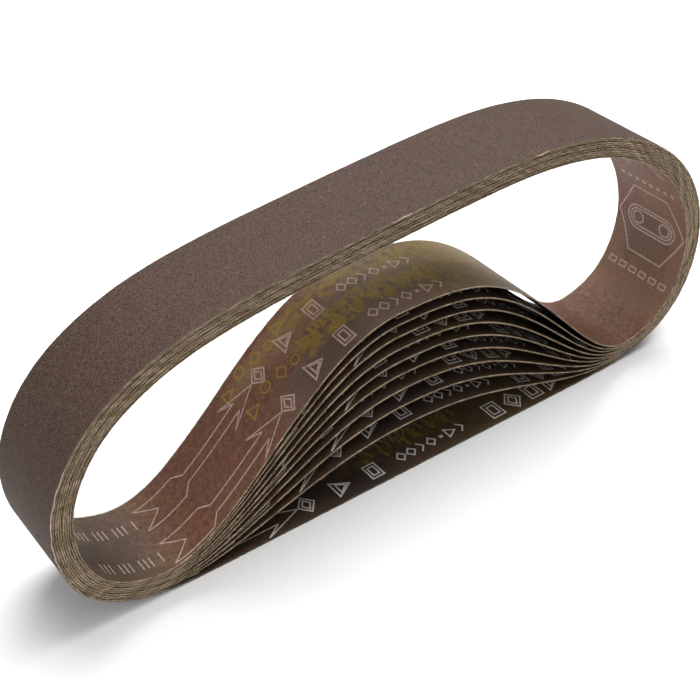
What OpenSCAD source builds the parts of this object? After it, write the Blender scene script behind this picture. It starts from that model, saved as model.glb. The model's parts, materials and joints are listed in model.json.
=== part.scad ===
// A nest of ten endless cloth sanding belts, one inside another, resting on its lower run.
// The belts are all one size. Each is a cloth strip with a coat of abrasive grain on its
// outer face, and a splice tape on its inner face joins the strip's two ends.
// The outermost belt lies flat along the bottom. The belts inside it have the same length
// but less room, so their lower runs rise in arches that fan out between the two ends.
// X runs along the nest, Y across the width of the belts and Z up. The origin is the
// middle of the nest's footprint, on the surface that it rests on.

/* [Belt] */
// Length of every belt, measured along the middle of its thickness
belt_length = 533; // [500:1:560]
// Width of every belt
belt_width = 30; // [20:1:60]
// Thickness of the cloth backing
cloth_t = 0.32; // [0.26:0.01:0.34]
// Thickness of the abrasive coat
grain_t = 0.1; // [0.06:0.01:0.1]

/* [Nest] */
// Distance from one belt to the next where the nest lies loose
loose_pitch = 0.64; // [0.56:0.01:0.68]
// Distance from one belt to the next in the tightly pressed lower corner
tight_pitch = 0.46; // [0.46:0.01:0.56]
// How far the belts stand out of line sideways
shuffle = 0.12; // [0:0.02:0.5]

/* [Arch] */
// Where the arches peak, along X
arch_x = -3; // [-10:1:8]
// Left foot of the arches, along X
left_foot = -87; // [-90:1:-80]
// Right foot of the innermost arch, along X
right_foot = 84; // [80:1:86]
// How much nearer the peak the right foot of the outermost arch stands
foot_shift = 5; // [0:1:10]
// Fullness of the arches' left shoulder
left_shoulder = 1.05; // [1:0.05:1.2]
// Fullness of the innermost arch's right shoulder
right_shoulder = 1.5; // [1.3:0.05:1.6]
// Loss of fullness from the innermost arch to the outermost
shoulder_loss = 0.4; // [0:0.05:0.5]

/* [Splice] */
// Width of the splice tape along the belt
tape_w = 18; // [12:1:22]
// Thickness of the splice tape, let into the cloth
tape_t = 0.08; // [0.05:0.01:0.12]
// Gap between the two ends of the strip
end_gap = 0.1; // [0.05:0.05:0.2]
// Angle of the splice from straight across the belt, in degrees
splice_lean = 25; // [0:5:35]

/* [Hidden] */

cloth_colour = "#6e4c42";
grain_colour = "#65564c";
tape_colour = "#c9b98a";

belt_count = 10;
innermost = belt_count - 1;
belt_t = cloth_t + grain_t;

// Control points of the outer face of the outermost belt, for belts 533 mm long.
// They run clockwise from the left end, over the top and back along the floor.
control = [
    [-112, 37], [-106, 53.5], [-93, 68.5], [-67, 80.5],
    [-25, 84.5], [15, 87.5], [45, 89], [72, 84.5],
    [93.5, 72.5], [107, 56], [112.5, 36], [107.5, 16], [95, 4],
    [75, 0], [55, 0], [35, 0], [15, 0], [-5, 0], [-25, 0], [-45, 0], [-62, 0],
    [-77.5, 0], [-97, 4], [-109, 16.5]
];
corners = len(control);

// Points on the outline for each control point
steps = 10;
points = corners * steps;

// The tight lower corner, and how far its squeeze reaches
tight_corner = [97, 6];
tight_reach = 30;

// Where each splice lies, as a point of the outline: the outermost belt's is at the right
// end, and the others' are staggered along the top
first_splice = 100;
top_splice = 28;
splice_stagger = 3;

// Reach of the tape's stretch of belt, in points of the outline, and of the knives that
// shape a splice, past both faces of the belt
splice_reach = 11;
knife_reach = 8;

// Turn between one belt's place in the sideways shuffle and the next
shuffle_turn = 110;

// Rounds of halving when an arch's height is found
halvings = 30;
tallest_arch = 90;

function total(list, i = 0, sum = 0) =
    i == len(list) ? sum : total(list, i + 1, sum + list[i]);

function around(list, i) = list[(i + len(list)) % len(list)];

function loop_length(path) =
    total([for (i = [0:len(path) - 1]) norm(around(path, i + 1) - path[i])]);

// Unit normals of a clockwise loop, which point to its inside
function inward(path) = [
    for (i = [0:len(path) - 1])
        let (d = around(path, i + 1) - around(path, i - 1))
        [d.y, -d.x] / norm(d)
];

function offset_path(path, distance) =
    let (normals = inward(path))
    [for (i = [0:len(path) - 1]) path[i] + distance * normals[i]];

// Closed uniform cubic B-spline through the pull of four neighbouring control points
function spline_point(corner, t) =
    (pow(1 - t, 3) * around(control, corner - 1)
     + (3 * pow(t, 3) - 6 * pow(t, 2) + 4) * around(control, corner)
     + (-3 * pow(t, 3) + 3 * pow(t, 2) + 3 * t + 1) * around(control, corner + 1)
     + pow(t, 3) * around(control, corner + 2)) / 6;

drawn = [for (c = [0:corners - 1]) for (s = [0:steps - 1]) spline_point(c, s / steps)];
fit = belt_length / loop_length(offset_path(drawn, belt_t / 2));
drawn_x = [for (p = drawn) p.x];
centre_x = (min(drawn_x) + max(drawn_x)) / 2;
outline = [for (p = drawn) fit * (p - [centre_x, 0])];
outline_normals = inward(outline);

function squared(v) = v * v;

// Pitch of the nest at a point of the outline
function pitch(point) =
    loose_pitch - (loose_pitch - tight_pitch)
    * exp(-squared(point - tight_corner) / squared(tight_reach));

// Share of the arch's height at x, from 0 at the feet to 1 at the peak.
// outerness is 1 on the outermost belt and 0 on the innermost.
function arch(x, outerness) =
    let (
        foot = x < arch_x ? left_foot : right_foot - foot_shift * outerness,
        shoulder = x < arch_x ? left_shoulder : right_shoulder - shoulder_loss * outerness,
        run = min(1, (x - arch_x) / (foot - arch_x))
    )
    (1 + cos(180 * pow(run, shoulder))) / 2;

// Middle of the thickness of one belt whose arch rises to the given height
function middle(depth, rise) = [
    for (i = [0:points - 1])
        let (
            p = outline[i] + (belt_t / 2 + depth * pitch(outline[i])) * outline_normals[i],
            share = outline_normals[i].y > 0 ? arch(p.x, 1 - depth / innermost) : 0
        )
        p + [0, rise * share]
];

// Height at which the arch takes up exactly the length that the nest leaves spare
function arch_height(depth, low = 0, high = tallest_arch, round = 0) =
    let (half = (low + high) / 2)
    round == halvings ? half
    : loop_length(middle(depth, half)) < belt_length
        ? arch_height(depth, half, high, round + 1)
        : arch_height(depth, low, half, round + 1);

function belt_path(depth) = middle(depth, depth == 0 ? 0 : arch_height(depth));

function sideways(depth) = shuffle * sin(shuffle_turn * depth);

function splice_index(depth) =
    depth == 0 ? first_splice : top_splice + splice_stagger * depth;

// A closed layer of the belt, between two distances inside the middle of its thickness
module layer(path, from, to) {
    rotate([90, 0, 0])
        linear_extrude(belt_width, center = true)
            polygon(
                points = concat(offset_path(path, from), offset_path(path, to)),
                paths = [
                    [for (i = [0:points - 1]) i],
                    [for (i = [0:points - 1]) points + i]
                ]
            );
}

// The same, along the stretch that a splice tape covers
module stretch(path, centre, from, to) {
    near = offset_path(path, from);
    far = offset_path(path, to);
    rotate([90, 0, 0])
        linear_extrude(belt_width, center = true)
            polygon(concat(
                [for (i = [-splice_reach:splice_reach]) near[centre + i]],
                [for (i = [-splice_reach:splice_reach]) far[centre - i]]
            ));
}

// A leaning block across the belt, as wide along the belt as stated
module knife(path, centre, width) {
    ahead = path[centre + 1] - path[centre - 1];
    lean = belt_width * tan(splice_lean) / 2;
    side = belt_width / 2 + 1;
    translate([path[centre].x, 0, path[centre].y])
        rotate([0, -atan2(ahead.y, ahead.x), 0])
            linear_extrude(knife_reach * 2, center = true)
                polygon([
                    [-width / 2 - lean, -side],
                    [width / 2 - lean, -side],
                    [width / 2 + lean, side],
                    [-width / 2 + lean, side]
                ]);
}

module cloth(depth) {
    path = belt_path(depth);
    centre = splice_index(depth);
    color(cloth_colour)
        translate([0, sideways(depth), 0])
            difference() {
                layer(path, grain_t - belt_t / 2, belt_t / 2);
                knife(path, centre, end_gap);
                intersection() {
                    stretch(path, centre, belt_t / 2 - tape_t, belt_t / 2 + tape_t);
                    knife(path, centre, tape_w);
                }
            }
}

module grain(depth) {
    path = belt_path(depth);
    color(grain_colour)
        translate([0, sideways(depth), 0])
            difference() {
                layer(path, -belt_t / 2, grain_t - belt_t / 2);
                knife(path, splice_index(depth), end_gap);
            }
}

module splice_tape(depth) {
    path = belt_path(depth);
    centre = splice_index(depth);
    color(tape_colour)
        translate([0, sideways(depth), 0])
            intersection() {
                stretch(path, centre, belt_t / 2 - tape_t, belt_t / 2);
                knife(path, centre, tape_w);
            }
}

cloth(0);  // belt_01_cloth
grain(0);  // belt_01_grain
splice_tape(0);  // belt_01_splice_tape
cloth(1);  // belt_02_cloth
grain(1);  // belt_02_grain
splice_tape(1);  // belt_02_splice_tape
cloth(2);  // belt_03_cloth
grain(2);  // belt_03_grain
splice_tape(2);  // belt_03_splice_tape
cloth(3);  // belt_04_cloth
grain(3);  // belt_04_grain
splice_tape(3);  // belt_04_splice_tape
cloth(4);  // belt_05_cloth
grain(4);  // belt_05_grain
splice_tape(4);  // belt_05_splice_tape
cloth(5);  // belt_06_cloth
grain(5);  // belt_06_grain
splice_tape(5);  // belt_06_splice_tape
cloth(6);  // belt_07_cloth
grain(6);  // belt_07_grain
splice_tape(6);  // belt_07_splice_tape
cloth(7);  // belt_08_cloth
grain(7);  // belt_08_grain
splice_tape(7);  // belt_08_splice_tape
cloth(8);  // belt_09_cloth
grain(8);  // belt_09_grain
splice_tape(8);  // belt_09_splice_tape
cloth(9);  // belt_10_cloth
grain(9);  // belt_10_grain
splice_tape(9);  // belt_10_splice_tape
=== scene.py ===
import json
import math

import bpy
import numpy as np
from mathutils import Matrix, Vector
from mathutils.kdtree import KDTree

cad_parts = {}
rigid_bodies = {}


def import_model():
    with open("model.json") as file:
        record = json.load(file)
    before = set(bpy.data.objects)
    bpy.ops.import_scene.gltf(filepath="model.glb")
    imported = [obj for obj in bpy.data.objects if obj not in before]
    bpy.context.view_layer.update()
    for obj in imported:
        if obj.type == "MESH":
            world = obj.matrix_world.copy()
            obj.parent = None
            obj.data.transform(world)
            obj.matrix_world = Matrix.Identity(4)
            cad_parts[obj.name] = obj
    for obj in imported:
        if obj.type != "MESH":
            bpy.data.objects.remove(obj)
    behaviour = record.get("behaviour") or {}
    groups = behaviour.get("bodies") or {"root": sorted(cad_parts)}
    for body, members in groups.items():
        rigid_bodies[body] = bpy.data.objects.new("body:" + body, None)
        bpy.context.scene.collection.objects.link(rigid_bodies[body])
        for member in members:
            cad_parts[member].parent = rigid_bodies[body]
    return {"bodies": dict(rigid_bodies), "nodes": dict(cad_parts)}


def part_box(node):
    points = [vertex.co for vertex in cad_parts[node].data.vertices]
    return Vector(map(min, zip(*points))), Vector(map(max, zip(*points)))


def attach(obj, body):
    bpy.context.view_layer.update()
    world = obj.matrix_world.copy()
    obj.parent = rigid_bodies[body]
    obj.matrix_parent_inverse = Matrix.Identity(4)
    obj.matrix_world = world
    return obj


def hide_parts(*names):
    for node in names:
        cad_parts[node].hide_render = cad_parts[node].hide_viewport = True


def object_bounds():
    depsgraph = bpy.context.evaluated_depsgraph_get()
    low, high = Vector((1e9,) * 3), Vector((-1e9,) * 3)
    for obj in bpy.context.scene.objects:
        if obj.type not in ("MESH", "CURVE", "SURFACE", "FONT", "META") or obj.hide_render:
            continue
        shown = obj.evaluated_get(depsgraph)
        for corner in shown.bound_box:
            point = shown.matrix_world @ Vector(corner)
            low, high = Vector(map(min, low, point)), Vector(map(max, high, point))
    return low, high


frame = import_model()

cad_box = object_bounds()

MM = 0.001

# ------------------------------------------------------------------ the camera and light

# What the picture looks at, from how far and from where. Metres and degrees.
AIM = Vector((-0.0147, -0.0050, 0.0432))
CAMERA_DISTANCE = 0.3836
CAMERA_AZIMUTH = -33.43
CAMERA_ELEVATION = 37.07
CAMERA_ROLL = -2.88
LENS = 72.23
SENSOR = 36.0

# Each softbox's place, width and power. Metres and watts.
SOFTBOXES = (
    ("overhead_softbox", (0.4, 0.25, 1.1), 1.2, 27),
    ("left_softbox", (-0.85, -0.45, 0.55), 0.6, 4.4),
    ("high_front_softbox", (-0.2, -0.55, 1.15), 0.6, 2.2),
)
LIT_PLACE = Vector((0, 0, 0.04))     # where they all point
FILL_LIGHT = 0.13        # strength of the even light from all sides
FLOOR_RADIUS = 0.65      # metres


def make_camera():
    camera = bpy.data.objects.new("camera", bpy.data.cameras.new("camera"))
    bpy.context.scene.collection.objects.link(camera)
    bpy.context.scene.camera = camera
    azimuth, elevation = math.radians(CAMERA_AZIMUTH), math.radians(CAMERA_ELEVATION)
    back = Vector((
        math.sin(azimuth) * math.cos(elevation),
        -math.cos(azimuth) * math.cos(elevation),
        math.sin(elevation),
    ))
    level = (-back).to_track_quat("-Z", "Y").to_matrix().to_4x4()
    roll = Matrix.Rotation(math.radians(CAMERA_ROLL), 4, "Z")
    camera.matrix_world = Matrix.Translation(AIM + back * CAMERA_DISTANCE) @ level @ roll
    camera.data.lens = LENS
    camera.data.sensor_width = SENSOR
    camera.data.clip_start = 0.01
    camera.data.clip_end = 20


def softbox(name, place, width, watts):
    lamp = bpy.data.lights.new(name, "AREA")
    lamp.shape = "SQUARE"
    lamp.size = width
    lamp.energy = watts
    box = bpy.data.objects.new(name, lamp)
    bpy.context.scene.collection.objects.link(box)
    box.location = place
    box.rotation_mode = "QUATERNION"
    box.rotation_quaternion = (LIT_PLACE - Vector(place)).to_track_quat("-Z", "Y")


def make_light():
    """The softboxes, and a background that is white to the camera but lights only faintly."""
    for box in SOFTBOXES:
        softbox(*box)
    world = bpy.data.worlds.new("studio")
    world.use_nodes = True
    tree = world.node_tree
    background = tree.nodes["Background"]
    background.inputs["Color"].default_value = (1, 1, 1, 1)
    seen = tree.nodes.new("ShaderNodeLightPath").outputs["Is Camera Ray"]
    tree.links.new(spread(tree, seen, 0, 1, FILL_LIGHT, 1.0), background.inputs["Strength"])
    bpy.context.scene.world = world
    bpy.context.scene.view_settings.view_transform = "Standard"


# ------------------------------------------------------------------ node helpers

MIX_A, MIX_B, MIX_RESULT = 6, 7, 2   # the colour sockets of Blender's Mix node


def colour(hex_code):
    """A colour written as #rrggbb, in the linear numbers that a shader takes."""
    parts = [int(hex_code[i:i + 2], 16) / 255 for i in (1, 3, 5)]
    linear = [p / 12.92 if p <= 0.04045 else ((p + 0.055) / 1.055) ** 2.4 for p in parts]
    return (*linear, 1.0)


def plug(tree, socket, value):
    """Gives a socket its value: another node's output, or a constant."""
    if isinstance(value, bpy.types.NodeSocket):
        tree.links.new(value, socket)
    else:
        socket.default_value = value


def new_material(name):
    """A new material, its node tree and its shader."""
    material = bpy.data.materials.new(name)
    material.use_nodes = True
    tree = material.node_tree
    return material, tree, tree.nodes["Principled BSDF"]


def calc(tree, operation, a, b=0.0, clamp=False):
    made = tree.nodes.new("ShaderNodeMath")
    made.operation = operation
    made.use_clamp = clamp
    plug(tree, made.inputs[0], a)
    plug(tree, made.inputs[1], b)
    return made.outputs[0]


def mix(tree, share, a, b, how="MIX"):
    """The colour a with a share of b mixed in."""
    made = tree.nodes.new("ShaderNodeMix")
    made.data_type = "RGBA"
    made.blend_type = how
    plug(tree, made.inputs["Factor"], share)
    plug(tree, made.inputs[MIX_A], a)
    plug(tree, made.inputs[MIX_B], b)
    return made.outputs[MIX_RESULT]


def spread(tree, value, low, high, to_low=0.0, to_high=1.0):
    """value's stretch from low to high, as to_low to to_high."""
    made = tree.nodes.new("ShaderNodeMapRange")
    made.interpolation_type = "SMOOTHSTEP"
    for place, number in enumerate((value, low, high, to_low, to_high)):
        plug(tree, made.inputs[place], number)
    return made.outputs[0]


def wrapped(tree, value, low, high):
    """value moved by whole turns of high - low until it lies between them."""
    made = tree.nodes.new("ShaderNodeMath")
    made.operation = "WRAP"
    for place, number in enumerate((value, high, low)):
        plug(tree, made.inputs[place], number)
    return made.outputs[0]


def between(tree, value, low, high, soft):
    """1 where value lies from low to high, fading to 0 over soft on either side."""
    rising = spread(tree, value, low - soft, low + soft)
    return calc(tree, "MULTIPLY", rising, spread(tree, value, high - soft, high + soft, 1.0, 0.0))


def axes(tree, where):
    """The three parts of a place."""
    parts = tree.nodes.new("ShaderNodeSeparateXYZ")
    tree.links.new(where, parts.inputs[0])
    return parts.outputs


def stretched(tree, where, scale):
    """The place with each of its parts scaled, which stretches a texture the other way."""
    made = tree.nodes.new("ShaderNodeVectorMath")
    made.operation = "MULTIPLY"
    plug(tree, made.inputs[0], where)
    made.inputs[1].default_value = scale
    return made.outputs[0]


def noise(tree, where, scale, detail=2.0, rough=0.5):
    made = tree.nodes.new("ShaderNodeTexNoise")
    plug(tree, made.inputs["Vector"], where)
    made.inputs["Scale"].default_value = scale
    made.inputs["Detail"].default_value = detail
    made.inputs["Roughness"].default_value = rough
    return made.outputs[0]


def cells(tree, where, scale):
    """Distance to the nearest cell's middle, and that cell's own grey."""
    made = tree.nodes.new("ShaderNodeTexVoronoi")
    plug(tree, made.inputs["Vector"], where)
    made.inputs["Scale"].default_value = scale
    grey = tree.nodes.new("ShaderNodeSeparateColor")
    tree.links.new(made.outputs["Color"], grey.inputs[0])
    return made.outputs["Distance"], grey.outputs[0]


def bump(tree, shader, height, depth, strength=1.0):
    made = tree.nodes.new("ShaderNodeBump")
    made.inputs["Strength"].default_value = strength
    made.inputs["Distance"].default_value = depth
    plug(tree, made.inputs["Height"], height)
    tree.links.new(made.outputs[0], shader.inputs["Normal"])


def on_belt(tree):
    """Millimetres along the belt, across it and above its middle."""
    made = tree.nodes.new("ShaderNodeAttribute")
    made.attribute_name = "belt_mm"
    return made.outputs["Vector"]


def painted(tree, name):
    """A number that Solids.build gives to every point of a mesh."""
    made = tree.nodes.new("ShaderNodeAttribute")
    made.attribute_name = name
    return made.outputs["Fac"]


# ------------------------------------------------------------------ materials

THREAD = 0.42            # millimetres from one thread of the cloth to the next
LOOP = 533.03            # millimetres round each belt
REPEAT = 281             # millimetres from one printing of the pattern to the next
PRINT_FROM = -40.0       # millimetres along the print where a round of it is taken to start
# Each patch's ends along the print and their softness, the same across it, and its strength:
# stains, stamp ink, painted shade and painted light.
# Later ones lie over earlier ones.
STAINS_AND_PAINTED_SHADING = (
    # painted shade: the innermost belt's left end darkened
    ("shade", -24, 38, 6, -30, 30, 3, 0.6),
    ("shade", -24, 27, 6, -10, 1.5, 2.5, 0.55),
    # painted light: paler patches of cloth
    ("painted_light", 247, 300, 6, -30, 30, 3, 0.35),
    ("painted_light", 248, 270, 5, -30, 30, 3, 0.3),
    ("painted_light", 98, 128, 6, 0.5, 6, 2, 0.3),
    # painted shade behind the emblem
    ("shade", 262, 281, 4, -9, 9, 3, 0.3),
    ("grey", 92, 146, 14, -30, -4, 2.5, 0.8),
    ("grey", 116, 150, 8, -6, 3, 2.0, 0.7),
    # painted shade: darker patches of cloth
    ("painted_shade_patch", 99, 121, 6, -30, -6.5, 2.5, 0.6),
    ("painted_shade_patch", 130, 151, 6, 9, 30, 2, 0.4),
    ("haze", 158, 184, 8, 1.5, 30, 4, 0.5),
    ("haze", 134, 158, 8, 1.5, 7.5, 3, 0.3),
    ("haze", 154, 184, 6, -9, 6, 3, 0.45),
    ("haze", 84, 112, 7, 6, 13, 3, 0.35),
    ("stamp", 106, 152, 3, -6.6, 2.6, 0.7, 0.85),
    ("stamp", 106, 160, 5, 6.0, 13, 1.5, 0.7),
)
# The two darkest colours are painted shade and the pale pink one painted light.
STAIN_AND_PAINTED_SHADING_COLOURS = {
    "shade": "#43372e",
    "painted_light": "#957965",
    "grey": "#6c5b50",
    "painted_shade_patch": "#463a31",
    "haze": "#a08a5c",
    "stamp": "#8b7433",
}
# Painted shade and painted light that come once round a belt.
ONCE_ROUND = ("shade", "painted_light")      # these come once on a belt, the others with every printing
# Painted shade: what the cloth colour of the outer belts, nested in the bundle, is multiplied by.
# The innermost belt's is left as it is.
BUNDLE_PAINTED_SHADE = (0.4, 0.38, 0.35, 1)
FLOOR_SHADE_STRENGTH = 0.8         # how much the painted shade darkens an edge next to the floor, as a share


def weave(tree, where):
    """Height of the cloth's threads, from 0 to 1: a faint weave under uneven slubs."""
    s, y, _ = axes(tree, where)
    turn = math.pi / THREAD
    warp = calc(tree, "SINE", calc(tree, "MULTIPLY", s, turn))
    weft = calc(tree, "SINE", calc(tree, "MULTIPLY", y, turn))
    crossing = calc(tree, "MULTIPLY", calc(tree, "MULTIPLY", warp, weft), 0.2)
    thick_and_thin = noise(tree, stretched(tree, where, (0.8, 2.2, 1)), 1.3, 5.0, 0.7)
    slubs = calc(tree, "MULTIPLY", thick_and_thin, 1.1)
    return calc(tree, "SUBTRACT", calc(tree, "ADD", crossing, slubs), 0.05, clamp=True)


def with_stains_and_painted_shading(tree, where, cloth):
    """The cloth with soft, ragged stains, painted shade and painted light, of which the stamp ink's
    are broken into blotches.
    """
    uneven = noise(tree, where, 0.22, 4.0, 0.65)
    ragged = calc(tree, "MULTIPLY", calc(tree, "SUBTRACT", uneven, 0.5), 14.0)
    on_loop = wrapped(tree, painted(tree, "print_mm"), PRINT_FROM, PRINT_FROM + LOOP)
    in_pattern = wrapped(tree, on_loop, PRINT_FROM, PRINT_FROM + REPEAT)
    y = calc(tree, "ADD", axes(tree, where)[1], calc(tree, "MULTIPLY", ragged, 0.6))
    blotchy = spread(tree, noise(tree, where, 0.33, 4.0, 0.65), 0.44, 0.52)
    for name, low_s, high_s, soft_s, low_y, high_y, soft_y, most in STAINS_AND_PAINTED_SHADING:
        place = on_loop if name in ONCE_ROUND else in_pattern
        s = calc(tree, "ADD", place, ragged)
        inside = calc(tree, "MULTIPLY", between(tree, s, low_s, high_s, soft_s),
                      between(tree, y, low_y, high_y, soft_y))
        share = calc(tree, "MULTIPLY", inside, most)
        if name == "stamp":
            share = calc(tree, "MULTIPLY", share, blotchy)
        cloth = mix(tree, share, cloth, colour(STAIN_AND_PAINTED_SHADING_COLOURS[name]))
    return cloth


def cloth_colours(tree, where, threads):
    """Reddish brown dye with olive stretches, stains, painted shade and painted light, darker
    between the threads, and painted shade on all but the innermost belt.
    """
    patchy = noise(tree, where, 0.055, 3.0, 0.6)
    olive = calc(tree, "ADD", painted(tree, "olive"), calc(tree, "SUBTRACT", patchy, 0.5), True)
    mottle = spread(tree, noise(tree, where, 0.6, 6.0, 0.75), 0.3, 0.7)
    red_dye = mix(tree, mottle, colour("#5d3a2d"), colour("#7f5645"))
    olive_dye = mix(tree, mottle, colour("#5c4c33"), colour("#857250"))
    dyed_with_painted_shading = with_stains_and_painted_shading(tree, where, mix(tree, olive, red_dye, olive_dye))
    # painted shade: every belt but the innermost is darkened as if shaded inside the bundle
    in_bundle_shade = calc(tree, "SUBTRACT", 1.0, painted(tree, "bleached"))
    with_bundle_painted_shade = mix(tree, in_bundle_shade, dyed_with_painted_shading, BUNDLE_PAINTED_SHADE, "MULTIPLY")
    return mix(tree, spread(tree, threads, 0.1, 0.65, 0.6, 0.0), with_bundle_painted_shade, colour("#2b1d16"))


def cloth_material():
    """The cloth on the belt's inner face, a little shiny with resin in places."""
    material, tree, shader = new_material("backing_cloth")
    where = on_belt(tree)
    threads = weave(tree, where)
    plug(tree, shader.inputs["Base Color"], cloth_colours(tree, where, threads))
    glossy = spread(tree, noise(tree, where, 1.3, 3.0), 0.3, 0.7, 0.5, 0.68)
    plug(tree, shader.inputs["Roughness"], glossy)
    shader.inputs["Specular IOR Level"].default_value = 0.32
    bump(tree, shader, threads, 0.05 * MM, 0.7)
    return material


def with_floor_shade(tree, base):
    """The base colour darkened by painted shade on the edges next to the floor."""
    share = calc(tree, "MULTIPLY", painted(tree, "dusty"), FLOOR_SHADE_STRENGTH)
    return mix(tree, share, base, colour("#2a211a"))


def cut_edge_material():
    """The cut ends of the cloth's threads: tan fibres, soaked in dark resin towards the grain."""
    material, tree, shader = new_material("cut_cloth_edge")
    where = on_belt(tree)
    ends = noise(tree, stretched(tree, where, (2.4, 1.0, 6.5)), 1.0, 4.0, 0.75)
    clumps = noise(tree, stretched(tree, where, (0.5, 0.3, 2.5)), 1.0, 3.0)
    tan = mix(tree, clumps, colour("#8f7a61"), colour("#c6b298"))
    packed = calc(tree, "ADD", ends, calc(tree, "MULTIPLY", clumps, 0.4))
    hollows = spread(tree, packed, 0.56, 0.78, 1.0, 0.0)
    uneven = calc(tree, "MULTIPLY", calc(tree, "SUBTRACT", clumps, 0.5), 0.3)
    height = calc(tree, "ADD", axes(tree, where)[2], uneven)
    soaked = spread(tree, height, -0.02, 0.09, 0.95, 0.0)
    dark = calc(tree, "MAXIMUM", hollows, soaked)
    plug(tree, shader.inputs["Base Color"], with_floor_shade(tree, mix(tree, dark, tan, colour("#61503d"))))
    shader.inputs["Roughness"].default_value = 0.95
    shader.inputs["Specular IOR Level"].default_value = 0.15
    bump(tree, shader, ends, 0.08 * MM, 0.8)
    return material


def grain_edge_material():
    """The abrasive layer cut through: dark brown resin with greyer grain in it."""
    material, tree, shader = new_material("cut_grain_edge")
    where = on_belt(tree)
    _, grey = cells(tree, where, 6.0)
    resin = mix(tree, grey, colour("#3e332a"), colour("#685a4f"))
    plug(tree, shader.inputs["Base Color"], with_floor_shade(tree, resin))
    shader.inputs["Roughness"].default_value = 0.85
    shader.inputs["Specular IOR Level"].default_value = 0.2
    bump(tree, shader, grey, 0.04 * MM, 0.6)
    return material


def grain_material():
    """Fine aluminium oxide grain in resin, brown-grey with a few pale crystals."""
    material, tree, shader = new_material("abrasive_grain")
    where = on_belt(tree)
    far, grey = cells(tree, where, 4.2)
    clumps = noise(tree, where, 2.4, 5.0, 0.8)
    drift = noise(tree, stretched(tree, where, (0.25, 0.6, 1)), 0.35, 4.0, 0.6)
    resin = mix(tree, spread(tree, drift, 0.3, 0.7), colour("#35241d"), colour("#3e3029"))
    clumped = mix(tree, spread(tree, clumps, 0.43, 0.57), resin, colour("#5e473b"))
    grains = mix(tree, spread(tree, grey, 0.3, 1.0, 0.0, 0.6), clumped, colour("#745d50"))
    pits = mix(tree, spread(tree, far, 0.3, 0.7, 0.0, 0.75), grains, colour("#1b120e"))
    from_middle, rarity = cells(tree, where, 1.1)
    crystal = calc(tree, "MULTIPLY", calc(tree, "GREATER_THAN", rarity, 0.99),
                   calc(tree, "LESS_THAN", from_middle, 0.16))
    plug(tree, shader.inputs["Base Color"], mix(tree, crystal, pits, colour("#9c8f84")))
    plug(tree, shader.inputs["Roughness"], spread(tree, grey, 0, 1, 0.62, 0.85))
    shader.inputs["Specular IOR Level"].default_value = 0.28
    height = calc(tree, "SUBTRACT", calc(tree, "MULTIPLY", clumps, 0.6), far)
    bump(tree, shader, height, 0.06 * MM, 0.75)
    return material


def ink_material(name, fresh, worn, cover):
    """Ink on the tops of the threads: patchier for a higher worn, and no thicker than cover."""
    material, tree, shader = new_material(name)
    where = on_belt(tree)
    threads = weave(tree, where)
    below = cloth_colours(tree, where, threads)
    rub = noise(tree, where, 1.1, 5.0, 0.75)
    covered = calc(tree, "ADD", calc(tree, "MULTIPLY", threads, 0.55), rub)
    share = spread(tree, covered, worn, worn + 0.3, 0.0, cover)
    plug(tree, shader.inputs["Base Color"], mix(tree, share, below, fresh))
    shader.inputs["Roughness"].default_value = 0.6
    shader.inputs["Specular IOR Level"].default_value = 0.35
    bump(tree, shader, threads, 0.05 * MM, 0.6)
    return material


def film_material():
    """The splice tape: cloudy straw film with faint ribs across the belt."""
    material, tree, shader = new_material("splice_film")
    where = on_belt(tree)
    cloudy = noise(tree, where, 0.5, 3.0, 0.6)
    ribs = noise(tree, stretched(tree, where, (9.0, 0.6, 1)), 1.0, 1.0)
    straw = mix(tree, cloudy, colour("#8f7d58"), colour("#a8966c"))
    plug(tree, shader.inputs["Base Color"], mix(tree, ribs, straw, colour("#7d6c4a")))
    plug(tree, shader.inputs["Roughness"], spread(tree, cloudy, 0.3, 0.7, 0.28, 0.42))
    shader.inputs["Coat Weight"].default_value = 0.3
    bump(tree, shader, ribs, 0.02 * MM, 0.5)
    return material


def fibre_material(name, dull, bright):
    """Loose ends of the cloth's threads, flecked from dull to bright along them."""
    material, tree, shader = new_material(name)
    where = on_belt(tree)
    fleck = noise(tree, where, 2.0, 2.0)
    flecked = mix(tree, spread(tree, fleck, 0.3, 0.7), dull, bright)
    plug(tree, shader.inputs["Base Color"], with_floor_shade(tree, flecked))
    shader.inputs["Roughness"].default_value = 0.9
    shader.inputs["Sheen Weight"].default_value = 0.2
    return material


def floor_material():
    """Pale matt studio floor."""
    material, tree, shader = new_material("pale_floor")
    where = tree.nodes.new("ShaderNodeTexCoord").outputs["Object"]
    cloudy = noise(tree, where, 6.0, 2.0)
    pale = mix(tree, cloudy, (0.86, 0.86, 0.86, 1), (0.9, 0.9, 0.9, 1))
    plug(tree, shader.inputs["Base Color"], pale)
    shader.inputs["Roughness"].default_value = 0.9
    shader.inputs["Specular IOR Level"].default_value = 0.1
    return material


# ------------------------------------------------------------------ the belts' shape

BELTS = sorted(frame["bodies"])
OUTERMOST, INNERMOST = BELTS[0], BELTS[-1]
CLOTH_LOW, CLOTH_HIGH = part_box("belt_01_cloth")
GRAIN_T = CLOTH_LOW.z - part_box("belt_01_grain")[0].z
BELT_T = 0.42 * MM       # grain and cloth together, as the CAD part has them
WIDTH = CLOTH_HIGH.y - CLOTH_LOW.y
SLIT = 0.1 * MM          # between the belt's two ends, under the splice tape
TAPE_W = 18 * MM

SAME_SIDE = 1e-6         # metres within which CAD points lie on the same side of a belt
KEYS_PER_METRE = 1e7     # CAD points that round to the same key are one point
SHARP_CORNER = math.radians(50)
SPAN_POINTS = 24         # points of the smooth curve for each straight piece of the CAD outline
SAMPLES = 4096           # points kept along each belt

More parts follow.
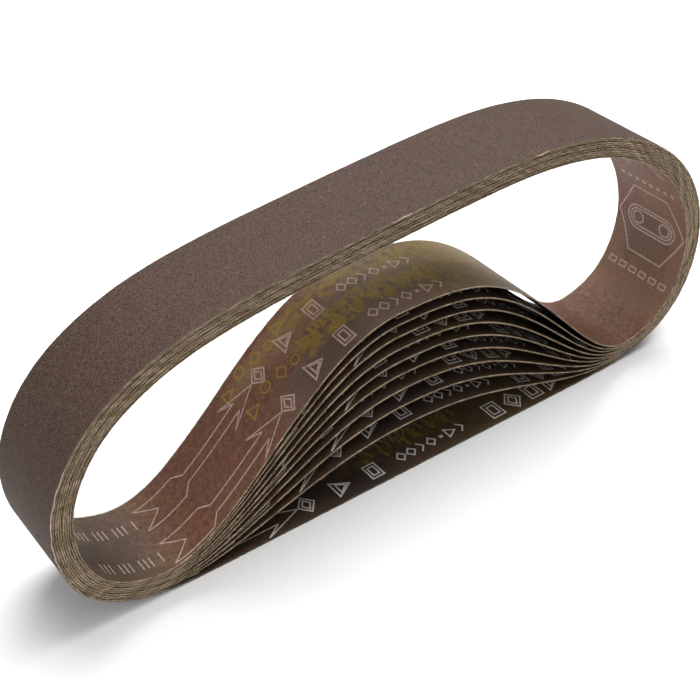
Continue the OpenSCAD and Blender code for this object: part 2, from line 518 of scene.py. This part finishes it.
STEP = 0.5 * MM          # length of one face along a belt
LEAN_REACH = 40 * MM     # how far from the slit its lean shows in the lie of the faces
ROWS_ACROSS = 7          # points across a belt, between its cut edges
EDGE = 0.008             # reach of a cut edge's splay, as a share of the belt's width
BULGE = 0.2              # of a cut edge's middle, as a share of the layer's thickness
CLOTH_RAGGED = 0.06 * MM
GRAIN_RAGGED = 0.05 * MM
GRAIN_INSET = 0.05 * MM  # by how much the grain is narrower than the cloth
TAPE_INSET = 0.4 * MM
TAPE_SUNK = 0.02 * MM    # how far the tape reaches into the cloth, and above it
TAPE_HEIGHT = 0.03 * MM
WAVES = (7, 19, 43, 97, 211)     # round a belt, of which an uneven edge is made
FACE_TO_FACE = 0.4       # how much rougher a cut is from face to face, as a share of its waves
# How far a cut edge splays into gaps of these widths, and where there is no other belt
SPLAY_GAPS = (0.0, 0.22 * MM, 0.45 * MM, 0.9 * MM)
SPLAYS = (0.0, 0.14 * MM, 0.05 * MM, 0.0)
FREE_SPLAY = 0.03 * MM
# A splay's unevenness in waves and from face to face, and its least and most, as shares of it
SPLAY_WAVES, SPLAY_ROUGH = 0.4, 0.35
SPLAY_LEAST, SPLAY_MOST = 0.1, 1.8
FLOOR_SHADE_HEIGHT = 3 * MM    # how high above the floor the painted shade reaches


def side_outline(node, back):
    """Corners (x, z) of a CAD node's front or back side, in order round it."""
    mesh = frame["nodes"][node].data
    mesh.calc_loop_triangles()
    points = np.array([v.co for v in mesh.vertices])
    level = points[:, 1].max() if back else points[:, 1].min()
    on_side = np.abs(points[:, 1] - level) < SAME_SIDE
    keys = [tuple(int(c) for c in np.round(p * KEYS_PER_METRE)) for p in points]
    neighbours = {}
    for triangle in mesh.loop_triangles:
        ends = [keys[i] for i in triangle.vertices if on_side[i]]
        if len(ends) == 2:
            neighbours.setdefault(ends[0], set()).add(ends[1])
            neighbours.setdefault(ends[1], set()).add(ends[0])
    walk = [min(neighbours)]
    walk.append(min(neighbours[walk[0]]))
    while walk[-1] != walk[0]:
        walk.append(min(neighbours[walk[-1]] - {walk[-2]}))
    return np.array(walk[:-1], float)[:, [0, 2]] / KEYS_PER_METRE


def outer_run(outline):
    """The outline's longest stretch between sharp corners: the belt's outer face."""
    ahead = np.roll(outline, -1, axis=0) - outline
    ahead /= np.linalg.norm(ahead, axis=1)[:, None]
    behind = np.roll(ahead, 1, axis=0)
    sharp = np.flatnonzero((ahead * behind).sum(1) < math.cos(SHARP_CORNER))
    runs = []
    for first, last in zip(sharp, np.roll(sharp, -1)):
        count = (last - first) % len(outline)
        runs.append(outline[(first + np.arange(count + 1)) % len(outline)])
    return max(runs, key=lambda r: np.linalg.norm(np.diff(r, axis=0), axis=1).sum())


def smooth_loop(points):
    """A smooth closed curve through points: cubics that share their tangents."""
    span = np.roll(points, -1, axis=0) - points
    chord = np.linalg.norm(span, axis=1)[:, None]
    slope = span / chord
    before, chord_before = np.roll(slope, 1, axis=0), np.roll(chord, 1, axis=0)
    tangent = (slope * chord_before + before * chord) / (chord + chord_before)
    t = (np.arange(SPAN_POINTS) / SPAN_POINTS)[None, :, None]
    start, end = points[:, None], np.roll(points, -1, axis=0)[:, None]
    leave, arrive = (tangent * chord)[:, None], (np.roll(tangent, -1, axis=0) * chord)[:, None]
    curve = (
        (2 * t**3 - 3 * t**2 + 1) * start + (t**3 - 2 * t**2 + t) * leave
        + (3 * t**2 - 2 * t**3) * end + (t**3 - t**2) * arrive
    ).reshape(-1, 2)
    return evenly(curve)


def evenly(curve):
    """SAMPLES points spaced evenly along a closed curve."""
    closed = np.vstack([curve, curve[:1]])
    s = np.concatenate([[0], np.cumsum(np.linalg.norm(np.diff(closed, axis=0), axis=1))])
    at = np.arange(SAMPLES) * s[-1] / SAMPLES
    return np.column_stack([np.interp(at, s, closed[:, 0]), np.interp(at, s, closed[:, 1])])


def inward(curve):
    """Unit normals of a counter-clockwise loop, towards its inside."""
    ahead = np.roll(curve, -1, axis=0) - np.roll(curve, 1, axis=0)
    ahead /= np.linalg.norm(ahead, axis=1)[:, None]
    return np.column_stack([-ahead[:, 1], ahead[:, 0]])


class Belt:
    """A belt's middle line, with s along it from the left end, down and along the bottom."""

    def __init__(self, name):
        self.name = name
        run = outer_run(side_outline(name + "_grain", back=False))
        x, z = run.T
        if (x * np.roll(z, -1) - np.roll(x, -1) * z).sum() < 0:
            run = run[::-1]
        outer = smooth_loop(run[1:-1])
        middle = evenly(outer + inward(outer) * BELT_T / 2)
        self.middle = np.roll(middle, -int(middle[:, 0].argmin()), axis=0)
        self.normals = inward(self.middle)
        self.length = np.linalg.norm(self.middle - np.roll(self.middle, 1, axis=0), axis=1).sum()
        self.s = np.arange(SAMPLES) * self.length / SAMPLES
        low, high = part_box(name + "_cloth")
        self.y = (low.y + high.y) / 2
        front, back = (self.slit_at(side) for side in (False, True))
        self.slit = (front + back) / 2
        self.lean = (back - front) / WIDTH

    def slit_at(self, back):
        """Where along the belt the slit is on its front or back edge."""
        run = outer_run(side_outline(self.name + "_grain", back))
        middle = (run[0] + run[-1]) / 2
        return self.s[np.linalg.norm(self.middle - middle, axis=1).argmin()]

    def splay_beside(self, neighbour):
        """How far a cut edge splays towards a neighbour, at each sample along the belt."""
        if neighbour is None:
            return np.full(SAMPLES, FREE_SPLAY)
        tree = KDTree(SAMPLES)
        for i, (x, z) in enumerate(neighbour.middle):
            tree.insert((x, 0, z), i)
        tree.balance()
        gap = np.array([tree.find((x, 0, z))[2] for x, z in self.middle]) - BELT_T
        return np.interp(gap, SPLAY_GAPS, SPLAYS)

    def place(self, points):
        """Points (s, y, h) along the belt, across it and above its middle, in the frame."""
        s, y, h = points.T
        x, z = (np.interp(s, self.s, c, period=self.length) for c in self.middle.T)
        nx, nz = (np.interp(s, self.s, c, period=self.length) for c in self.normals.T)
        return np.column_stack([x + nx * h, y + self.y, z + nz * h])


# ------------------------------------------------------------------ mesh building

SEAMS = math.radians(60)         # faces that meet at more than this look creased
MITRE_LIMIT = 0.25               # keeps a stroke's corners from reaching too far out
# A strip's corners in section: ROW on each face, and one in the middle of each cut edge
ROW = ROWS_ACROSS + 2
FRONT_CUT = [0, 2 * ROW, 2 * ROW + 1]
BACK_CUT = [ROW - 1, ROW, ROW + 1]


def paint(mesh, name, numbers):
    """Gives every point of a mesh a number, which the materials read."""
    layer = mesh.attributes.new(name, "FLOAT", "POINT")
    layer.data.foreach_set("value", numbers.astype(np.float32))


class Solids:
    """Closed solids on a belt, each a row of rings of points (s, y, h), gathered in one mesh."""

    def __init__(self):
        self.points, self.faces, self.slots, self.count = [], [], [], 0

    def add(self, rings, looped=False, slots=0):
        """Adds one solid, whose rings are rows of corners. slots has each corner's material."""
        rows, corners, _ = rings.shape
        index = self.count + np.arange(rows * corners).reshape(rows, corners)
        near = index if looped else index[:-1]
        far = np.roll(index, -1, axis=0) if looped else index[1:]
        quads = np.stack([near, far, np.roll(far, -1, axis=1), np.roll(near, -1, axis=1)], axis=-1)
        sides = np.broadcast_to(slots, corners)
        self.faces += quads.reshape(-1, 4).tolist()
        self.slots += np.broadcast_to(sides, near.shape).ravel().tolist()
        if not looped:
            self.faces += [index[0].tolist(), index[-1][::-1].tolist()]
            self.slots += [int(sides[-1])] * 2
        self.points.append(rings.reshape(-1, 3))
        self.count += rows * corners

    def build(self, name, belt, materials):
        """Makes the piece, with its place on the belt and its colouring on every point."""
        points = np.vstack(self.points)
        s = points[:, 0]
        mesh = bpy.data.meshes.new(name)
        mesh.from_pydata(belt.place(points).tolist(), [], self.faces)
        where = mesh.attributes.new("belt_mm", "FLOAT_VECTOR", "POINT")
        where.data.foreach_set("vector", (points / MM).astype(np.float32).ravel())
        paint(mesh, "print_mm", (s - print_start(belt)) / MM)
        # 1 on the innermost belt, which the bundle's painted shade leaves out
        paint(mesh, "bleached", np.full(len(points), belt.name == INNERMOST))
        paint(mesh, "olive", olive_share(belt, s))
        # painted shade on the cut edges next to the floor
        paint(mesh, "dusty", floor_shade_share(belt, s))
        for material in materials:
            mesh.materials.append(material)
        mesh.polygons.foreach_set("material_index", self.slots)
        mesh.shade_smooth()
        mesh.set_sharp_from_angle(angle=SEAMS)
        piece = bpy.data.objects.new(name, mesh)
        bpy.context.scene.collection.objects.link(piece)
        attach(piece, belt.name)
        return piece


def olive_share(belt, s):
    """Share of olive in the cloth's dye: none in the middle of a red patch, all between them."""
    round_belt = (s - print_start(belt)) / MM % (belt.length / MM)
    share = np.ones_like(s)
    reddest = 1.0 if belt.name == INNERMOST else OUTER_REDNESS
    for centre, reach in RED_PATCHES:
        share -= reddest * np.exp(-((round_belt - centre) / reach) ** 4)
    return np.clip(share, 0, 1)


def floor_shade_share(belt, s):
    """Share of painted shade on the cut edges next to the floor: only the outermost belt's lower
    run has any.
    """
    height = np.interp(s, belt.s, belt.middle[:, 1], period=belt.length)
    return np.clip(1 - height / FLOOR_SHADE_HEIGHT, 0, 1) * (belt.name == OUTERMOST)


def wobble(rng, s, length, size):
    """A smooth random wave along a belt that joins up with itself."""
    waves = np.zeros_like(s)
    for count in WAVES:
        waves += rng.normal() * np.sin(2 * np.pi * (count * s / length + rng.random()))
    return waves * size / 2


def section(low, high, width):
    """Corners (y, h) of a layer cut across: the inner face, an edge, the outer face, an edge."""
    inside = np.linspace(-0.5 + EDGE, 0.5 - EDGE, ROWS_ACROSS)
    across = np.concatenate([[-0.5], inside, [0.5]]) * width
    bulge = (high - low) * BULGE
    middle = (low + high) / 2
    y = np.concatenate([across, [across[-1] + bulge], across[::-1], [across[0] - bulge]])
    h = np.concatenate([np.full(ROW, high), [middle], np.full(ROW, low), [middle]])
    return y, h


def leaning(belt, along):
    """How much of the slit's lean the faces have: all of it at the slit, and none far away."""
    from_slit = np.minimum(np.abs(along), np.abs(belt.length - along)) / LEAN_REACH
    return np.clip(1 - from_slit, 0, 1) ** 2 * (1 + 2 * np.clip(from_slit, 0, 1))


def strip(belt, start, end, low, high, width, ragged=0.0, splays=None, seed=0):
    """Rings of a layer of the belt, from start to end along it past the slit."""
    y, h = section(low, high, width)
    along = np.linspace(start, end, round((end - start) / STEP) + 1)
    s = belt.slit + belt.lean * y[None, :] * leaning(belt, along)[:, None] + along[:, None]
    rings = np.stack([s, np.broadcast_to(y, s.shape), np.broadcast_to(h, s.shape)], axis=-1).copy()
    rng = np.random.default_rng(seed)
    if ragged:
        for corners in (FRONT_CUT, BACK_CUT):
            cut = wobble(rng, along, belt.length, ragged)
            cut += rng.normal(0, ragged * FACE_TO_FACE, along.shape)
            rings[:, corners, 1] += cut[:, None]
    if splays:
        middle = s[:, ROW // 2]
        outer, inner = (np.interp(middle, belt.s, f, period=belt.length) for f in splays)
        for corner, reach in ((0, inner), (ROW - 1, inner), (ROW + 1, -outer), (2 * ROW, -outer)):
            uneven = 1 + wobble(rng, along, belt.length, SPLAY_WAVES)
            uneven += rng.normal(0, SPLAY_ROUGH, along.shape)
            rings[:, corner, 2] += reach * np.clip(uneven, SPLAY_LEAST, SPLAY_MOST)
    return rings


def edge_slots():
    """Material 1 on the two cut edges of a strip, and 0 on its faces."""
    slots = np.zeros(2 * ROW + 2, int)
    slots[[0, ROW - 2, ROW - 1, ROW, ROW + 1, 2 * ROW - 1, 2 * ROW, 2 * ROW + 1]] = 1
    return slots


def stroke(path, width, low, high, looped=False):
    """Rings of a flat stroke along path, a list of (s, y) corners. All in metres."""
    corners = np.array(path, float)
    ends = np.vstack([corners, corners[:1]]) if looped else corners
    points = []
    for a, b in zip(ends[:-1], ends[1:]):
        pieces = max(1, math.ceil(np.linalg.norm(b - a) / STEP))
        points += [a + (b - a) * i / pieces for i in range(pieces)]
    if not looped:
        points.append(ends[-1])
    points = np.array(points)
    ahead = np.roll(points, -1, axis=0) - points
    behind = np.roll(ahead, 1, axis=0)
    if not looped:
        ahead[-1], behind[0] = ahead[-2], ahead[0]
    ahead /= np.linalg.norm(ahead, axis=1)[:, None]
    behind /= np.linalg.norm(behind, axis=1)[:, None]
    left = np.column_stack([-(ahead + behind)[:, 1], (ahead + behind)[:, 0]]) / 2
    left /= np.maximum((left**2).sum(1), MITRE_LIMIT)[:, None]
    steps = max(2, math.ceil(width / STEP) + 1)
    aside = np.linspace(-0.5, 0.5, steps) * width
    rows = [(points + left * w, high) for w in -aside] + [(points + left * w, low) for w in aside]
    return np.stack([np.column_stack([p, np.full(len(p), h)]) for p, h in rows], axis=1)


def tube(path, radii, sides=3):
    """Rings of a round thread along path, (s, y, h) points in metres.

    No thread runs along the slanting direction that its corners are turned from."""
    ahead = np.gradient(path, axis=0)
    ahead /= np.linalg.norm(ahead, axis=1)[:, None]
    first = np.cross(ahead, [0.3, 0.2, 1.0])
    first /= np.linalg.norm(first, axis=1)[:, None]
    second = np.cross(first, ahead)
    angles = np.arange(sides) * 2 * np.pi / sides
    out = first[:, None] * np.cos(angles)[:, None] + second[:, None] * np.sin(angles)[:, None]
    return path[:, None] + out * np.asarray(radii)[:, None, None]


# ------------------------------------------------------------------ the prints
# Millimetres: s along the belt and y across it, from a mark's own middle.

ROWS = (5.6, -9.4)               # across the belt, where the two rows of the print run
# Where each part of a row starts along the print, and where the emblems' middles are
TALLY_AT = 21.5
ARROW_AT = 41.5
BIG_MARKS_AT = 93.5
CODE_AT = 127
LARGE_AT = 162
EMBLEMS_AT = (277, 497)
# Each stamp's place along and across the print
LIGHT_STAMPS = ((86, 10.5), (88, -0.8))
DENSE_STAMP = (112, -1.8)
BLOT_SEED = 7
BLOT_STROKES = 40
BLOT_LENGTH = 40
# Widths of the lines
FINE = 0.42
BOLD = 0.5
EMBLEM = 0.55
STAMP = 0.6
BLOT = 0.8
MARGIN = 0.3 * MM                # marks that come nearer to a cut edge are left out
SUNK = 0.01 * MM                 # how far the ink reaches into the cloth
PRINT_HEIGHT = 0.014 * MM        # how far it stands above it
STAMP_HEIGHT = 0.008 * MM
# Middle and reach of each stretch of the cloth where the dye is reddest
RED_PATCHES = ((82, 58), (262, 52), (352, 40), (460, 32))
OUTER_REDNESS = 0.5              # of the outer belts' reddest patches. The innermost's is 1.
# How far each belt's print is moved along it from the innermost belt's
PRINT_SHIFTS = {"belt_01": 1, "belt_02": 12, "belt_03": 24, "belt_04": -14, "belt_05": 31,
                "belt_06": 7, "belt_07": -23, "belt_08": 37, "belt_09": 17, "belt_10": 0}


def print_start(belt):
    """Where a belt's print starts. It runs round the belt from there."""
    return PRINT_SHIFTS[belt.name] * MM


def polygon(sides, radius, turn=0.0):
    """A regular polygon, which stands for a circle where it has many sides."""
    turns = [2 * math.pi * i / sides + turn for i in range(sides)]
    return [(radius * math.cos(a), radius * math.sin(a)) for a in turns]


def ring(radius):
    return polygon(20, radius)


def oblong(width, height):
    w, h = width / 2, height / 2
    return [(-w, -h), (w, -h), (w, h), (-w, h)]


def bar(height, lean=0.0):
    """A short line across the belt."""
    return [(-lean / 2, -height / 2), (lean / 2, height / 2)]


def triangle(width, height):
    return [(-width / 2, -height / 2), (width / 2, 0), (-width / 2, height / 2)]


def diamond(width, height):
    return [(-width / 2, 0), (0, -height / 2), (width / 2, 0), (0, height / 2)]


def chevron(height, depth):
    return [(-depth / 2, height / 2), (depth / 2, 0), (-depth / 2, -height / 2)]


def stadium(length, width, points=12):
    """A closed belt outline, its length across the belt."""
    straight, radius = (length - width) / 2, width / 2
    turns = [math.pi * i / points for i in range(points + 1)]
    top = [(radius * math.cos(a), straight + radius * math.sin(a)) for a in turns]
    return top + [(-p[0], -p[1]) for p in top]


def moved(path, s, y):
    return [(p[0] + s, p[1] + y) for p in path]


def doubled(path, s, y):
    """A shape in double outline."""
    inner = [(p[0] * 0.5, p[1] * 0.6) for p in path]
    return [(moved(path, s, y), True), (moved(inner, s, y), True)]


def tally_row(s, y):
    """A row of short bars in groups of three."""
    return [(moved(bar(4.0), s + 1.5 * i, y), False) for i in range(13) if i % 4 != 3]


def arrow(s, y):
    """A hollow arrow with a swallow tail, which points the way the belt runs."""
    half = [(0, 4.5), (14, 4.5), (17.2, 1.7), (41.5, 1.7), (36.5, 5.0), (49, 0)]
    outline = [(6.2, 0)] + half + [(a, -b) for a, b in half[-2::-1]]
    return [(moved(outline, s, y), True)]


def big_marks(s, y):
    """Three large plain shapes, one after another."""
    marks = doubled(diamond(5.4, 6.6), s, y)
    marks += doubled(triangle(5.2, 6.4), s + 12.3, y)
    return marks + doubled(oblong(4.0, 5.8), s + 23.4, y)


def code_row(s, y):
    """Small plain shapes: diamonds, dots, triangles and chevrons."""
    dot, small = oblong(0.7, 0.7), diamond(3.0, 3.6)
    shapes = [(small, True), (small, True), (chevron(4.0, 1.7), False), (small, True),
              (dot, True), (triangle(3.0, 3.8), True), (chevron(4.0, 1.7), False)]
    return [(moved(path, s + 3.7 * i, y), loop) for i, (path, loop) in enumerate(shapes)]


def large_row(s, y):
    """A row of the largest shapes: an oblong, a diamond, an oblong and a triangle."""
    shapes = (oblong(4.6, 6.6), diamond(6.0, 7.4), oblong(4.6, 6.6), triangle(5.4, 7.0))
    return [mark for i, path in enumerate(shapes) for mark in doubled(path, s + 7.6 * i, y)]


def emblem(s, y):
    """A hexagon round a belt on two rollers, between a row of dots and a row of dashes."""
    marks = [(moved(polygon(6, 14.0, math.pi / 6), s, y), True)]
    marks += [(moved(stadium(20, 8.5), s, y), True), (moved(stadium(17.6, 6.1), s, y), True)]
    marks += [(moved(ring(2.1), s, y + at), True) for at in (-5.6, 5.6)]
    marks += [(moved(polygon(8, 0.5), s + 16.5, y - 10.5 + 3 * i), True) for i in range(8)]
    marks += [(moved(oblong(1.6, 2.6), s - 17.5, y - 11 + 4.4 * i), True) for i in range(6)]
    return marks


def fine_print():
    """What the cloth's printing has in thin lines. Every mark is a path and whether it closes."""
    marks = []
    for y in ROWS:
        for start in (0, REPEAT):
            marks += tally_row(start + TALLY_AT, y) + arrow(start + ARROW_AT, y)
    return marks


def bold_print(innermost):
    """What it has in bold lines. The innermost belt's largest row has worn away."""
    marks = []
    for y in ROWS:
        for start in (0, REPEAT):
            marks += big_marks(start + BIG_MARKS_AT, y) + code_row(start + CODE_AT, y)
            marks += [] if innermost else large_row(start + LARGE_AT, y)
    return marks


def loose_stamp(s, y):
    """Light plain shapes, as of a hand stamp."""
    shapes = ((triangle(3.8, 4.2), -2, 0), (ring(1.7), 4.5, 1.6), (diamond(3.8, 4.4), 10.5, 0),
              (ring(1.4), 15.5, -1.2), (triangle(3.4, 4.0), 21, 0.5))
    return [(moved(path, s + at, y + up), True) for path, at, up in shapes]


def dense_stamp(s, y):
    """Stamped strokes struck so often over one another that they hardly show apart."""
    rng = np.random.default_rng(BLOT_SEED)
    marks = []
    for _ in range(BLOT_STROKES):
        lean, tall = rng.normal(0, 1.0), rng.uniform(2.2, 4.4)
        at_s, at_y = s + rng.uniform(0, BLOT_LENGTH), y + rng.normal(0, 1.5)
        marks.append((moved(bar(tall, lean), at_s, at_y), False))
    return marks


def add_marks(solids, belt, marks, width, height):
    """Adds marks to a belt's print, with lines of one width that stand one height high."""
    for path, loop in marks:
        points = np.array(path) * MM
        if np.abs(points[:, 1]).max() < WIDTH / 2 - MARGIN:
            points[:, 0] += print_start(belt)
            rings = stroke(points, width * MM, BELT_T / 2 - SUNK, BELT_T / 2 + height, loop)
            solids.add(rings, loop)


# ------------------------------------------------------------------ the pieces of one belt

CLOTH_SEED, GRAIN_SEED, FIBRE_SEED, THREAD_SEED = 0, 100, 200, 300
FIBRE_STEP = 0.6 * MM            # from one cut fibre to the next
FIBRE_TAPER = np.array([1.0, 0.95, 0.8, 0.4])
# Where each thread that has come loose starts on the belt, and its length. Millimetres.
LOOSE_THREADS = ((-24, 20), (-9, 13), (1, 9), (398, 7), (352, 5), (301, 6))
THREADS_Y = -15.1                # across the belt: just outside its front edge
SWAY_LENGTH = 6.5                # of a thread, from one wave to the next


def make_cloth(belt, number, materials):
    solids = Solids()
    rings = strip(belt, SLIT / 2, belt.length - SLIT / 2, GRAIN_T - BELT_T / 2, BELT_T / 2,
                  WIDTH, CLOTH_RAGGED, belt.splays, CLOTH_SEED + number)
    solids.add(rings, slots=edge_slots())
    piece = solids.build(belt.name + "_backing", belt, materials)
    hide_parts(belt.name + "_cloth")
    return piece


def make_grain(belt, number, materials):
    solids = Solids()
    rings = strip(belt, SLIT / 2, belt.length - SLIT / 2, -BELT_T / 2, GRAIN_T - BELT_T / 2,
                  WIDTH - GRAIN_INSET, GRAIN_RAGGED, seed=GRAIN_SEED + number)
    solids.add(rings, slots=edge_slots())
    piece = solids.build(belt.name + "_abrasive", belt, materials)
    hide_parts(belt.name + "_grain")
    return piece


def make_tape(belt, materials):
    solids = Solids()
    solids.add(strip(belt, -TAPE_W / 2, TAPE_W / 2, BELT_T / 2 - TAPE_SUNK,
                     BELT_T / 2 + TAPE_HEIGHT, WIDTH - TAPE_INSET))
    piece = solids.build(belt.name + "_splice_film", belt, materials)
    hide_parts(belt.name + "_splice_tape")
    return piece


def make_print(belt, materials):
    solids = Solids()
    emblems = [mark for place in EMBLEMS_AT for mark in emblem(place, 0)]
    add_marks(solids, belt, fine_print(), FINE, PRINT_HEIGHT)
    add_marks(solids, belt, emblems, EMBLEM, PRINT_HEIGHT)
    add_marks(solids, belt, bold_print(belt.name == INNERMOST), BOLD, PRINT_HEIGHT)
    return solids.build(belt.name + "_print", belt, materials)


def make_stamp(belt, materials):
    solids = Solids()
    for start in (0, REPEAT):
        for s, y in LIGHT_STAMPS:
            add_marks(solids, belt, loose_stamp(start + s, y), STAMP, STAMP_HEIGHT)
        s, y = DENSE_STAMP
        add_marks(solids, belt, dense_stamp(start + s, y), BLOT, STAMP_HEIGHT)
    return solids.build(belt.name + "_stamp", belt, materials)


def make_fray(belt, number, materials):
    """Cut fibres that stand out and lie over both edges of the cloth.

    Each starts at its root and goes out, then curls. Its places are along the belt, across
    it and above its middle."""
    rng = np.random.default_rng(FIBRE_SEED + number)
    solids = Solids()
    t = np.linspace(0, 1, len(FIBRE_TAPER))[:, None]
    for side in (-1, 1):
        for s in np.arange(0, belt.length, FIBRE_STEP):
            root = np.array([s + rng.random() * MM, side * WIDTH / 2, rng.uniform(-0.16, 0.2) * MM])
            out = np.array([rng.normal(0, 0.6), side * rng.uniform(0.03, 0.2), rng.normal(0, 0.07)])
            curl = np.array([rng.normal(0, 0.4), side * rng.normal(0, 0.08), rng.normal(0, 0.05)])
            path = root + (t * out + t**2 * curl) * MM
            solids.add(tube(path, FIBRE_TAPER * rng.uniform(0.03, 0.055) * MM))
    return solids.build(belt.name + "_frayed_edge", belt, materials)


def make_loose_threads(belt, materials):
    """Threads that lie away from the outermost belt's front edge, swaying as they run."""
    rng = np.random.default_rng(THREAD_SEED)
    solids = Solids()
    for start, length in LOOSE_THREADS:
        t = np.linspace(0, 1, 4 + 2 * length)
        away = np.sin(np.pi * t)
        sway = np.sin(2 * np.pi * (t * length / SWAY_LENGTH + rng.random()))
        y = THREADS_Y - away * (0.22 + 0.1 * sway)
        path = np.column_stack([start + t * length, y, 0.12 * sway * away])
        radii = np.interp(t, [0, 0.1, 0.85, 1], [0.04, 0.12, 0.1, 0.03])
        solids.add(tube(path * MM, radii * MM, sides=6))
    return solids.build(belt.name + "_loose_threads", belt, materials)


def make_belt(number, belt, outside, inside, materials):
    """A belt's pieces. Its number seeds their raggedness."""
    innermost = belt.name == INNERMOST
    belt.splays = [belt.splay_beside(neighbour) for neighbour in (outside, inside)]
    cloth = make_cloth(belt, number, [materials["cloth"], materials["edge"]])
    make_grain(belt, number, [materials["grain"], materials["grain edge"]])
    on_it = [
        make_tape(belt, [materials["film"]]),
        make_print(belt, [materials["worn ink" if innermost else "white ink"]]),
        make_stamp(belt, [materials["yellow ink"]]),
        make_fray(belt, number, [materials["fibre"]]),
    ]
    if belt.name == OUTERMOST:
        on_it.append(make_loose_threads(belt, [materials["thread"]]))


def make_floor():
    """A round floor a hair below the belts."""
    mesh = bpy.data.meshes.new("floor")
    level = cad_box[0].z - 0.05 * MM
    corners = [(x, y, level) for x, y in polygon(96, FLOOR_RADIUS)]
    mesh.from_pydata(corners, [], [range(len(corners))])
    mesh.materials.append(floor_material())
    floor = bpy.data.objects.new("floor", mesh)
    bpy.context.scene.collection.objects.link(floor)


make_camera()
make_light()
make_floor()
materials = {
    "cloth": cloth_material(),
    "edge": cut_edge_material(),
    "grain edge": grain_edge_material(),
    "grain": grain_material(),
    "film": film_material(),
    "white ink": ink_material("white_ink", colour("#e2dad4"), 0.42, 0.9),
    "worn ink": ink_material("worn_white_ink", colour("#b8a196"), 0.5, 0.85),
    "yellow ink": ink_material("yellow_ink", colour("#93802c"), 0.46, 0.6),
    "fibre": fibre_material("frayed_fibre", colour("#5f5348"), colour("#a99c8a")),
    "thread": fibre_material("loose_thread", colour("#a78d80"), colour("#d9c3b6")),
}
belts = [Belt(name) for name in BELTS]
nested = zip([None, *belts], belts, [*belts[1:], None])
for number, (outside, belt, inside) in enumerate(nested, start=1):
    make_belt(number, belt, outside, inside, materials)
